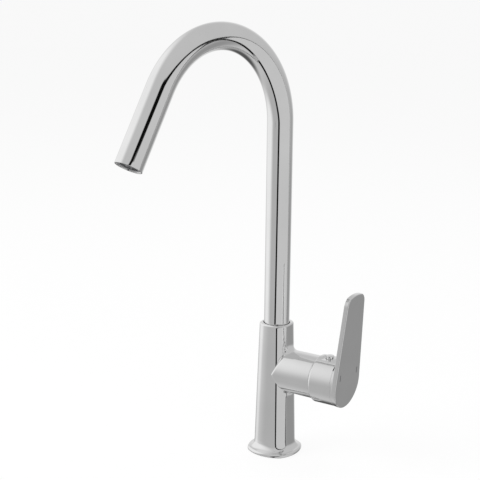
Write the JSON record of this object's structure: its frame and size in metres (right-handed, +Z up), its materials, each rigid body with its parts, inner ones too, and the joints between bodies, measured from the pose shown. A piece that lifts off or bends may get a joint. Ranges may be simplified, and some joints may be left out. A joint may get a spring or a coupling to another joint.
{
  "type": "three way kitchen tap",
  "caption": "Swan-neck kitchen tap with a side lever for mixed water and a push button that frees the lever's filtered water sector; deck mounted on one hole.",
  "frame": {"origin": "centre of the foot on the deck, at the mouth of the fixing stud's hole", "axes": "+Z up the column; +X along the side branch towards the lever; -Y to the front, where the spout points at mid swing"},
  "size_m": [0.1309, 0.2259, 0.4264],
  "materials": {
    "chrome": "bright chrome plate on brass",
    "brass": "turned brass",
    "stainless": "stainless steel",
    "rubber": "black rubber",
    "white_plastic": "moulded acetal",
    "valve_plastic": "moulded glass-filled plastic",
    "grey_plastic": "moulded plastic",
    "ceramic": "lapped alumina"
  },
  "bodies": {
    "fixed": {"body_casting": "chrome", "base_seal": "rubber", "spout_stop_screw": "stainless", "cartridge_base": "valve_plastic", "cartridge_port_seals": "rubber", "fixed_ceramic_disc": "ceramic", "cartridge_housing": "valve_plastic", "cartridge_nut": "brass", "selector_stop_ring": "brass"},
    "spout": {"spout_tube": "chrome", "spout_spigot": "brass", "spout_o_rings": "rubber", "spout_glide_ring": "white_plastic", "spout_glide_washer": "white_plastic", "filtered_water_tube": "white_plastic", "outlet_ferrule": "brass", "outlet_washer": "rubber", "outlet_cage": "grey_plastic", "filtered_water_nozzle": "grey_plastic", "outlet_plate": "stainless"},
    "turret": {"cartridge_rotor": "white_plastic", "spindle_pin": "stainless"},
    "valve": {"moving_ceramic_disc": "ceramic", "disc_carrier": "white_plastic"},
    "lever": {"cartridge_spindle": "brass", "lever_cup": "chrome", "lever_plate": "chrome", "lever_joint_screws": "stainless", "lever_grub_screw": "stainless", "grub_screw_plug": "grey_plastic", "button_spring": "stainless"},
    "button": {"selector_button": "chrome", "button_latch_arm": "stainless"}
  },
  "joints": [
    {"name": "spout_swivel", "type": "hinge", "parent": "fixed", "child": "spout", "pos_m": [0, 0, 0.11], "axis": [0, 0, 1], "range_deg": [-51, 69]},
    {"name": "lever_turn", "type": "hinge", "parent": "fixed", "child": "turret", "pos_m": [0.0372, 0, 0.086], "axis": [1, 0, 0], "range_deg": [-75, 45]},
    {"name": "lever_lift", "type": "hinge", "parent": "turret", "child": "lever", "pos_m": [0.0372, 0, 0.086], "axis": [0, 1, 0], "range_deg": [0, 22]},
    {"name": "valve_slide", "type": "slide", "parent": "turret", "child": "valve", "axis": [0, 0, 1], "range_m": [0, 0.0031]},
    {"name": "button_push", "type": "slide", "parent": "lever", "child": "button", "axis": [0, 0, -1], "range_m": [0, 0.002], "stiffness_N_per_m": 350, "springref_m": -0.004, "deforming": ["button_spring"]}
  ],
  "couplings": [
    {"joint": "valve_slide", "follows": "lever_lift", "m_per_rad": 0.007854}
  ]
}
